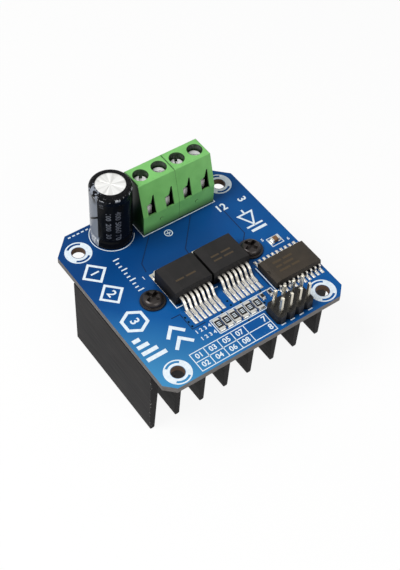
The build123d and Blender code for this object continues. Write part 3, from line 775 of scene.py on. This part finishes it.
def epoxy_ink():
    """Screened ink whose white is a little uneven."""
    material, tree = start("white_epoxy_ink")
    place = add(tree, "ShaderNodeTexCoord").outputs["Object"]
    wear = {"Vector": place, "Scale": 1 / wear_cloud, "Detail": 3.0}
    wear = add(tree, "ShaderNodeTexNoise", wear)
    tone = graded(tree, wear, 0.35, 0.65, "#d5e2eb", "#e6eff5")
    shader = add(tree, "ShaderNodeBsdfPrincipled", {"Base Color": tone, "Roughness": 0.55})
    add(tree, "ShaderNodeOutputMaterial", {"Surface": shader})
    return material


ink = epoxy_ink()
hole_side_inset, hole_front_inset, hole_back_inset = 4.8, 3.5, 6.1
hole_radius = 1.65
hole_x = board_high.x / mm - hole_side_inset
hole_places = [
    (side * hole_x, y)
    for side in (-1, 1)
    for y in (board_low.y / mm + hole_front_inset, board_high.y / mm - hole_back_inset)
]
ring_inner, ring_outer = hole_radius + 0.1, 3.25
# Two slots in each ring show the blue, and ink bridges them at the left and the right.
slot_inner, slot_outer, slot_sweep = 2.36, 2.92, 82
bridge_sweep = 180 - slot_sweep

rings = bmesh.new()
for hole in hole_places:
    ring(rings, hole, ring_inner, slot_inner)
    ring(rings, hole, slot_outer, ring_outer)
    for side_angle in (0, 180):
        first = side_angle - bridge_sweep / 2
        ring(rings, hole, slot_inner, slot_outer, first=first, sweep=bridge_sweep, steps=16)
settle("ink_hole_rings", rings, ink)

# %% Ink round the terminals, the capacitor and the chips
line = 0.2
outlines = bmesh.new()

foot_margin = 0.2
terminal_low = corners("terminal_housing_left")[0]
terminal_high = corners("terminal_housing_right")[1]
frame_line(
    outlines,
    (terminal_low.x - foot_margin, terminal_low.y - foot_margin),
    (terminal_high.x + foot_margin, terminal_high.y - line),
    line,
)

sleeve_low, sleeve_high = corners("capacitor_sleeve")
can_middle = ((sleeve_low + sleeve_high) / 2).xy
can_radius = (sleeve_high.x - sleeve_low.x) / 2
can_gap, can_opening = 0.25, 60
can_ring = can_radius + can_gap
can_sweep = {"first": can_opening / 2, "sweep": 360 - can_opening}
ring(outlines, can_middle, can_ring, can_ring + line, **can_sweep, steps=64)

chips_side, chips_front, chips_arm = 10.45, -7.15, 2.8
chip_runs = [
    [(-chips_side, -4.3), (-chips_side, chips_front), (chips_arm - chips_side, chips_front)],
    [(-0.9, chips_front), (0.9, chips_front)],
    [(chips_side, 1.5), (chips_side, chips_front), (9.7, chips_front)],
]
for run in chip_runs:
    path(outlines, run, line)

logic_low, logic_high = corners("logic_chip_body")
logic_ink_aside, logic_ink_beyond, logic_ink_arm = 0.25, 0.3, 1.2
logic_left, logic_arm = logic_low.x - logic_ink_aside, logic_low.x + logic_ink_arm
logic_front, logic_back = logic_low.y - logic_ink_beyond, logic_high.y + logic_ink_beyond
logic_run = [(logic_left, logic_back), (logic_left, logic_front), (logic_arm, logic_front)]
path(outlines, logic_run, line)
print("the can's ring is", round(2 * can_ring, 2), "mm wide inside")

# %% Ink round the resistors, the small part and the header
block_left, block_right, block_short_right = -6.45, 10.8, 6.5
block_back, block_middle, block_front = -14.15, -16.25, -18.35
cell_width = (block_right - block_left) / 4
path(outlines, [(block_left, block_back), (block_right, block_back)], line)
path(outlines, [(block_left, block_front), (block_short_right, block_front)], line)
for cell in range(5):
    x = block_left + cell * cell_width
    cell_front = block_middle if x > block_short_right + line else block_front
    path(outlines, [(x, block_back), (x, cell_front)], line)

small_part_low, small_part_high = (18.9, -4.7), (22.15, -2.1)
frame_line(outlines, small_part_low, small_part_high, line)
plus_x, plus_y, plus_radius, plus_arm = 0.8, 12.45, 1.05, 0.6
ring(outlines, (plus_x, plus_y), plus_radius - line, plus_radius, steps=32)
bar(outlines, (plus_x - plus_arm, plus_y), (plus_x + plus_arm, plus_y), line)
bar(outlines, (plus_x, plus_y - plus_arm), (plus_x, plus_y + plus_arm), line)

header_low, header_high = corners("header_base")
header_cell = (header_high.x - header_low.x) / 4
dash_y, dash_reach, dash_width = header_low.y - 0.3, 0.6, 0.25
for cell in range(4):
    x = header_low.x + (cell + 0.5) * header_cell
    bar(outlines, (x - dash_reach, dash_y), (x + dash_reach, dash_y), dash_width)
settle("ink_outlines", outlines, ink)

# %% Ink table that numbers the pins
table_left, table_right, table_front, table_back = -15.6, 4.95, -24.3, -19.25
table_middle = (table_front + table_back) / 2
table_columns = [-11.98, -8.26, -4.58, -1.11]
wide_cell_middle = 4.0
cell_size, wide_cell_size, row_size = 1.9, 2.1, 1.35
numbers = bmesh.new()
frame_line(numbers, (table_left, table_front), (table_right, table_back), line)
bar(numbers, (table_left, table_middle), (table_right, table_middle), line)
for x in table_columns:
    bar(numbers, (x, table_front), (x, table_back), line)

cell_edges = [table_left, *table_columns]
cell_rows = ((table_back + table_middle) / 2, (table_front + table_middle) / 2)
for column, (left, right) in enumerate(zip(cell_edges, cell_edges[1:])):
    for row, y in enumerate(cell_rows):
        number = 2 * column + row + 1
        figure(numbers, f"{number:02d}", ((left + right) / 2, y), cell_size)
for number, y in zip("78", cell_rows):
    figure(numbers, number, (wide_cell_middle, y), wide_cell_size)

resistor_rows, resistor_left, resistor_step = (-15.15, -17.25), -10.6, 1.15
for y in resistor_rows:
    for column in range(4):
        spot = (resistor_left + column * resistor_step, y)
        figure(numbers, str(column + 1), spot, row_size)
loose_figures = ("1", (-11.8, 4.2), 1.3), ("5", (18.0, -1.7), 1.2), ("6", (23.5, -4.6), 1.2)
for text, spot, size in loose_figures:
    figure(numbers, text, spot, size)
settle("ink_numbers", numbers, ink)

# %% Ink marks on the left strip
marks = bmesh.new()
badge_x, badge_line, badge_size = -20.4, 0.85, 3.0
badges = ((11.6, 4, 3.3), (4.4, 4, 3.3), (-5.0, 6, 3.35))
for number, (y, sides, reach) in enumerate(badges, start=1):
    spot = (badge_x, y)
    first = 180 / sides if sides == 6 else 0
    ring(marks, spot, reach - badge_line, reach, first=first, steps=sides)
    figure(marks, str(number), spot, badge_size, turn=-90)

scale_x, scale_back, scale_pitch, scale_line = -14.9, 12.3, 1.17, 0.32
short_reach, long_reach = 0.9, 1.6
for step in range(10):
    reach = long_reach if step % 3 == 0 else short_reach
    y = scale_back - step * scale_pitch
    bar(marks, (scale_x, y), (scale_x + reach, y), scale_line)

stair_x, stair_back, stair_pitch, stair_line = -24.0, -9.7, 1.9, 1.05
for step, reach in enumerate((1.8, 2.9, 4.0, 5.1)):
    y = stair_back - step * stair_pitch
    bar(marks, (stair_x, y), (stair_x + reach, y), stair_line)

chevron_x, chevron_back, chevron_pitch, chevron_line = -14.7, -13.2, 3.4, 0.85
chevron_half, chevron_rise = 2.3, 2.4
for step in range(2):
    y = chevron_back - step * chevron_pitch
    foot_left, foot_right = (chevron_x - chevron_half, y), (chevron_x + chevron_half, y)
    path(marks, [foot_left, (chevron_x, y + chevron_rise), foot_right], chevron_line)
print("three badges, a scale, a stair and two chevrons on the left strip")

# %% Ink marks at the back and at the right
tick_x, tick_y, tick_pitch, tick_reach, tick_line = -19.9, 24.0, 1.2, 0.7, 0.35
for step in range(5):
    x = tick_x + step * tick_pitch
    bar(marks, (x, tick_y), (x + tick_reach, tick_y), tick_line)
large_size = 3.0
figure(marks, "12", (16.0, 12.0), large_size)
figure(marks, "3", (21.9, 11.7), large_size, turn=-90)

diode_x, diode_back, diode_tip, diode_half, diode_line = 19.6, 7.4, 3.6, 2.0, 0.45
diode_left, diode_right = (diode_x - diode_half, diode_back), (diode_x + diode_half, diode_back)
path(marks, [diode_left, diode_right, (diode_x, diode_tip), diode_left], diode_line)
diode_lead_back = 8.8
bar(marks, (diode_x, diode_back), (diode_x, diode_lead_back), diode_line)
thin_bar, thick_bar = ((17.3, 3.3), (21.9, 3.3), 0.5), ((17.7, 1.9), (22.0, 1.9), 0.75)
bar(marks, *thin_bar)
bar(marks, *thick_bar)
settle("ink_marks", marks, ink)

# %% [markdown]
# ## Numbers on the capacitor
#
# A sleeve is printed flat and then shrunk on, so its print bends round the can. The
# numbers here are made in the same order. They are drawn flat first, and then each vertex
# moves: its distance aside becomes an angle round the can, and its height becomes a
# distance from the can's wall. A modifier could bend them, but this is exact and short.

# %% Numbers on the sleeve
def wrap(shape, text, angle, middle_level, size):
    """Print a number down the side of the can, bent round it at an angle of the plan."""
    drawn_before = len(shape.verts)
    figure(shape, text, (0, 0), size, turn=-90, level=0)
    for vert in list(shape.verts)[drawn_before:]:
        aside, rise, out = vert.co
        turn = math.radians(angle) + aside / can_radius
        reach = can_radius + out
        vert.co = (
            can_middle.x + reach * math.cos(turn),
            can_middle.y + reach * math.sin(turn),
            middle_level + rise,
        )


sleeve_print = bmesh.new()
sleeve_lines = (
    (212, "01", 14.2, 1.4),
    (230, "100  200  30", 8.2, 1.7),
    (256, "400 5060 70", 8.0, 1.9),
)
for angle, text, above_board, size in sleeve_lines:
    wrap(sleeve_print, text, angle, board_level + above_board, size)
film_ink = moulded("grey_film_ink", "#6e7178", "#3e4046", 0.4)
settle("sleeve_numbers", sleeve_print, film_ink)

# %% [markdown]
# ## Gaps in the copper and drilled holes
#
# Where the copper under the mask ends, a thin darker line shows through it. The vias are
# tiny plated holes, each drawn as a near black disc of painted shade in a paler ring, and
# the four mounting holes show the brown cut laminate in their bores. All could be cut into
# the board, but thin pieces that lie on it look the same from a step away and leave the
# imported mesh as it is.

# %% Lines in the copper
def plain(name, tone, roughness, specular=0.5):
    """One even finish for a tiny piece."""
    material, tree = start(name)
    inputs = {"Base Color": tone, "Roughness": roughness, "Specular IOR Level": specular}
    shader = add(tree, "ShaderNodeBsdfPrincipled", inputs)
    add(tree, "ShaderNodeOutputMaterial", {"Surface": shader})
    return material


bare_mask = plain("solder_mask_on_bare_laminate", "#08264d", 0.35, specular=0.2)
gap_lines = bmesh.new()
gap_width, gap_height = 0.24, 0.008
gap_runs = [
    [(-3.6, 14.2), (-9.8, 8.0), (-10.3, 5.4)],
    [(8.4, 14.2), (1.3, 6.2), (0.9, 3.4)],
    [(16.0, 13.0), (15.9, 2.5), (13.4, -0.2)],
    [(-13.2, -8.9), (-10.9, -9.0), (-10.9, -13.9), (-7.4, -13.9)],
    [(11.0, -7.6), (11.0, -13.4)],
]
for run in gap_runs:
    path(gap_lines, run, gap_width, height=gap_height)
settle("copper_gap_lines", gap_lines, bare_mask)

# %% Vias and bores
copper_mask = plain("solder_mask_on_copper_ring", "#155083", 0.3, specular=0.2)
# Painted shade: the near black discs stand for the shade inside the via holes.
via_shade = plain("painted_via_hole_shade", "#05080d", 0.9, specular=0.0)
cut_laminate = plain("cut_laminate_bore", "#5b4534", 0.8)
via_places = [
    (-10.5, -10.4),
    (-10.5, -11.8),
    (-10.5, -13.2),
    (0.2, -11.8),
    (0.2, -13.2),
    (-2.7, -13.8),
    (2.6, -13.8),
    (1.0, -18.9),
    (8.2, -13.6),
    (6.95, -16.9),
    (6.0, -18.8),
]
via_inner, via_outer, via_rise = 0.25, 0.42, 0.02
shade_disc_radius, shade_disc_rise = 0.26, 0.012
via_rings, via_shade_discs = bmesh.new(), bmesh.new()
for spot in via_places:
    ring(via_rings, spot, via_inner, via_outer, height=via_rise, steps=20)
    disc(via_shade_discs, spot, shade_disc_radius, shade_disc_rise, sides=16)
settle("via_rings", via_rings, copper_mask)
settle("via_shade_discs", via_shade_discs, via_shade)

board_bottom = board_low.z / mm
board_thick = (board_high.z - board_low.z) / mm
bore_inner, bore_outer = hole_radius - 0.06, hole_radius + 0.02
bores = bmesh.new()
for hole in hole_places:
    ring(bores, hole, bore_inner, bore_outer, board_level - board_thick, board_thick)
settle("mounting_hole_bores", bores, cut_laminate)

# %% [markdown]
# ## Pads and solder
#
# Each leg stands on a bare tinned pad that is a little larger than the leg, and molten
# solder has drawn up round it. A pad is a thin plate. The solder could be sculpted, but at
# this size a block with its upper edges bevelled round looks like the real lump, and one
# function makes them all.

# %% Solder under the legs of the power chips
mound_roundness = 0.7


def mound(shape, centre, width, length, height):
    """A lump of solder on the board: a block of a width, length and height, rounded above."""
    half_way = board_level + height / 2
    spot = Matrix.Translation((*centre, half_way))
    grow = Matrix.Diagonal((width, length, height, 1))
    made = bmesh.ops.create_cube(shape, size=1, matrix=spot @ grow)
    edges = {edge for vert in made["verts"] for edge in vert.link_edges}
    upper = [edge for edge in edges if any(vert.co.z > half_way for vert in edge.verts)]
    bmesh.ops.bevel(
        shape,
        geom=upper,
        offset=mound_roundness * min(height, width / 2),
        offset_type="OFFSET",
        segments=3,
        profile=0.5,
        affect="EDGES",
        material=-1,
    )


pad_height = 0.05
leg_pitch = 1.27
power_legs = 7
power_pad_back, power_pad_front, power_pad_width = 2.3, 1.95, 0.86
power_lump, power_lump_back = (0.78, 3.8, 0.24), 0.1
tab_pad_margin, tab_pad_back = 0.25, 0.45
power_pads, power_solder = bmesh.new(), bmesh.new()
for side in ("left", "right"):
    low, high = corners(f"power_chip_{side}_legs")
    first_leg = (low.x + high.x) / 2 - (power_legs - 1) / 2 * leg_pitch
    for leg in range(power_legs):
        x = first_leg + leg * leg_pitch
        pad_ends = (x, low.y + power_pad_back), (x, low.y - power_pad_front)
        bar(power_pads, *pad_ends, power_pad_width, height=pad_height)
        mound(power_solder, (x, low.y + power_lump_back), *power_lump)
    low, high = corners(f"power_chip_{side}_tab")
    x, width = (low.x + high.x) / 2, high.x - low.x + 2 * tab_pad_margin
    bar(power_pads, (x, low.y), (x, high.y + tab_pad_back), width, height=pad_height)
settle("power_chip_pads", power_pads, tinned)
settle("power_chip_solder", power_solder, solder)

# %% Solder under the legs of the logic chip
small_pads, small_solder = bmesh.new(), bmesh.new()
legs_a_side = 10
logic_pad_under, logic_pad_past, logic_pad_width = 1.3, 0.6, 0.7
logic_lump, logic_lump_under = (0.62, 1.5, 0.26), 0.3
low, high = corners("logic_chip_legs")
first_leg = (low.x + high.x) / 2 - (legs_a_side - 1) / 2 * leg_pitch
for tip, outward in ((low.y, -1), (high.y, 1)):
    for leg in range(legs_a_side):
        x = first_leg + leg * leg_pitch
        pad_ends = (x, tip - outward * logic_pad_under), (x, tip + outward * logic_pad_past)
        bar(small_pads, *pad_ends, logic_pad_width, height=pad_height)
        mound(small_solder, (x, tip - outward * logic_lump_under), *logic_lump)
print(2 * legs_a_side, "legs of the logic chip stand in solder")

# %% Resistors and the small part
low, high = corners("chip_resistor_ends")
resistor_pitch = 2.16
large_length, large_width, large_height = 3.2, 1.6, 0.55
small_length, small_width, small_height = 1.6, 0.85, 0.45
large_y, small_y = low.y + large_length / 2, high.y - small_length / 2
large = (large_y, large_length, large_width, large_height)
small = (small_y, small_length, small_width, small_height)
resistor_pad_under, resistor_pad_past = 0.7, 0.3
lump_past, lump_length, lump_share, lump_inset = 0.05, 0.5, 0.8, 0.05
glaze_height, glaze_share, glaze_inset = 0.02, 0.64, 0.04
code_height, code_pitch, code_reach, code_line = 0.01, 0.42, 0.42, 0.17

glaze, codes = bmesh.new(), bmesh.new()
for column, (y, length, width, height) in enumerate([large] * 6 + [small] * 2):
    x = low.x + large_width / 2 + column * resistor_pitch
    top = board_level + height
    for outward in (-1, 1):
        tip = y + outward * length / 2
        pad_ends = (x, tip - outward * resistor_pad_under), (x, tip + outward * resistor_pad_past)
        bar(small_pads, *pad_ends, width, height=pad_height)
        lump = (width - 2 * lump_inset, lump_length, lump_share * height)
        mound(small_solder, (x, tip + outward * lump_past), *lump)
    half = glaze_share * length / 2
    bar(glaze, (x, y - half), (x, y + half), width - 2 * glaze_inset, top, glaze_height)
    code_rows = (-1, 0, 1) if width == large_width else ()
    for row in code_rows:
        code_y = y + code_pitch * row
        code_ends = (x - code_reach, code_y), (x + code_reach, code_y)
        bar(codes, *code_ends, code_line, top + glaze_height, code_height)
settle("resistor_glaze", glaze, moulded("black_resistor_glaze", "#1c1c1f", "#141416", 0.3))
settle("resistor_codes", codes, ink)

small_part_pad_half, small_part_pad_width = 0.75, 1.0
small_part_lump = (0.8, 1.3, 0.5)
low, high = corners("chip_capacitor_ends")
y = (low.y + high.y) / 2
for x in (low.x, high.x):
    pad_ends = (x, y - small_part_pad_half), (x, y + small_part_pad_half)
    bar(small_pads, *pad_ends, small_part_pad_width, height=pad_height)
    mound(small_solder, (x, y), *small_part_lump)
settle("small_part_pads", small_pads, tinned)
settle("small_part_solder", small_solder, solder)

# %% [markdown]
# ## Solder joints under the board
#
# The header, the terminals and the capacitor have pins that pass through the board. Below
# it each pin stands in a cone of solder. A plain cone would do from afar, but molten
# solder climbs a pin in a hollow curve, so each one is spun from a short hollow line.

# %% Joints round the pins
def joint(shape, centre, radius, drop):
    """Spin the hollow flank of a solder cone that hangs round a pin."""
    tip = 0.01
    flank = [(radius, 0), (0.62 * radius, 0.35 * drop), (0.42 * radius, drop), (tip, 1.08 * drop)]
    x, y = centre
    points = [shape.verts.new((x + out, y, board_bottom - down)) for out, down in flank]
    edges = [shape.edges.new(pair) for pair in zip(points, points[1:])]
    bmesh.ops.spin(
        shape,
        geom=points + edges,
        cent=(*centre, 0),
        axis=(0, 0, 1),
        angle=2 * math.pi,
        steps=16,
        use_merge=True,
    )


joints = bmesh.new()
header_pitch, lead_pitch = 2.54, 5.0
header_joint, terminal_joint, lead_joint = (0.85, 1.0), (1.15, 1.1), (0.95, 1.0)
terminal_pin_inset = 0.35
low, high = corners("header_pins")
middle = (low + high) / 2
for column in (-1.5, -0.5, 0.5, 1.5):
    for row in (-0.5, 0.5):
        spot = (middle.x + column * header_pitch, middle.y + row * header_pitch)
        joint(joints, spot, *header_joint)
for way in ways:
    low, high = corners(f"terminal_contact_{way}")
    joint(joints, ((low.x + high.x) / 2, low.y + terminal_pin_inset), *terminal_joint)
for side in (-1, 1):
    joint(joints, (can_middle.x + side * lead_pitch / 2, can_middle.y), *lead_joint)
settle("solder_joints", joints, solder)

# %% [markdown]
# ## Marks on the chips
#
# A laser writes on a chip by paling its skin a little. Only a few plain bars stand here,
# in a brown that is barely lighter than the moulded compound. They are drawn a hair
# above the chip, where a laser would sink them, because a sunk mark needs a cut body.

# %% Laser marks
laser = plain("laser_paled_epoxy", "#4a3f31", 0.7, specular=0.2)
chip_marks = bmesh.new()
mark_height = 0.006


def marked_row(x, y, lengths, gap, width, level):
    """Lay bars of these lengths one after another, with gaps, from a place of the plan."""
    for length in lengths:
        bar(chip_marks, (x, y), (x + length, y), width, level, mark_height)
        x += length + gap


power_inset_x, power_inset_y, power_gap, power_line = 2.0, 3.0, 0.6, 0.45
for side, rows in (("left", (0.0,)), ("right", (0.0, 1.3))):
    low, high = corners(f"power_chip_{side}_body")
    for row in rows:
        x, y = low.x + power_inset_x, low.y + power_inset_y + row
        marked_row(x, y, (2.2, 2.6), power_gap, power_line, high.z)

logic_inset_x, logic_inset_y, logic_gap, logic_line = 2.6, 2.2, 0.5, 0.6
for row, lengths in ((0.0, (2.4, 2.6)), (1.35, (1.6, 2.8)), (2.7, (3.0, 2.2))):
    x, y = logic_low.x + logic_inset_x, logic_high.y - logic_inset_y - row
    marked_row(x, y, lengths, logic_gap, logic_line, logic_high.z)
settle("laser_marks", chip_marks, laser)

# %% [markdown]
# ## Table and light
#
# The photograph has a white ground and soft light with hardly a shadow. One small lamp
# would be simpler, but its shadows are hard, so a pale table, a white surround and two
# large soft lamps do that. The surround is full white where it is seen or mirrored and
# dimmer where it only lights, so that colours render as written.

# %% Table
def seen_directly(tree):
    """One for rays from the camera, a mirror or a glass, and nothing for other rays."""
    ray = add(tree, "ShaderNodeLightPath").outputs
    either = ray["Is Camera Ray"]
    for kind in ("Is Glossy Ray", "Is Transmission Ray"):
        either = add(tree, "ShaderNodeMath", [either, ray[kind]], operation="MAXIMUM")
    return either


def white_table():
    """Pale paint that glows where it is seen, and stays dim where it only lights."""
    material, tree = start("white_table")
    seen = seen_directly(tree)
    tone = add(tree, "ShaderNodeMix", [seen, "#8f8f8e", "#f4f4f3"], data_type="RGBA")
    inputs = {"Base Color": tone, "Roughness": 0.9}
    paint = add(tree, "ShaderNodeBsdfPrincipled", inputs)
    glow = add(tree, "ShaderNodeEmission", {"Color": "#ffffff", "Strength": 1.0})
    share = add(tree, "ShaderNodeMapRange", [seen, 0, 1, 0.0, 0.9])
    mixed = add(tree, "ShaderNodeMixShader", [share, paint, glow])
    add(tree, "ShaderNodeOutputMaterial", {"Surface": mixed})
    return material


table_reach = 4.0
table_mesh = bpy.data.meshes.new("table")
table_shape = bmesh.new()
bmesh.ops.create_grid(table_shape, x_segments=1, y_segments=1, size=table_reach)
table_shape.to_mesh(table_mesh)
table_shape.free()
table_mesh.materials.append(white_table())
table = bpy.data.objects.new("table", table_mesh)
bpy.context.scene.collection.objects.link(table)
print("the table reaches", table_reach, "m each way")

# %% Surround
world = bpy.data.worlds.new("surround")
bpy.context.scene.world = world
world.use_nodes = True
world_tree = world.node_tree
world_tree.nodes.clear()
strength = add(world_tree, "ShaderNodeMapRange", [seen_directly(world_tree), 0, 1, 0.3, 1.0])
surround = add(world_tree, "ShaderNodeBackground", {"Strength": strength})
add(world_tree, "ShaderNodeOutputWorld", {"Surface": surround})
print("surround of", len(world_tree.nodes), "nodes")

# %% Lamps
aim = Vector((0, 0, board_top))


def lamp(name, place, size, power):
    """Hang a square soft lamp at a place, turned to the middle of the board."""
    data = bpy.data.lights.new(name, "AREA")
    data.size = size
    data.energy = power
    hung = bpy.data.objects.new(name, data)
    hung.location = place
    hung.rotation_euler = (aim - hung.location).to_track_quat("-Z", "Y").to_euler()
    bpy.context.scene.collection.objects.link(hung)
    print(name, power, "W, a square of", size, "m")


lamp("key_lamp", Vector((-0.26, 0.07, 0.42)), 0.22, 1.9)
lamp("fill_lamp", Vector((0.03, -0.38, 0.26)), 0.3, 0.8)
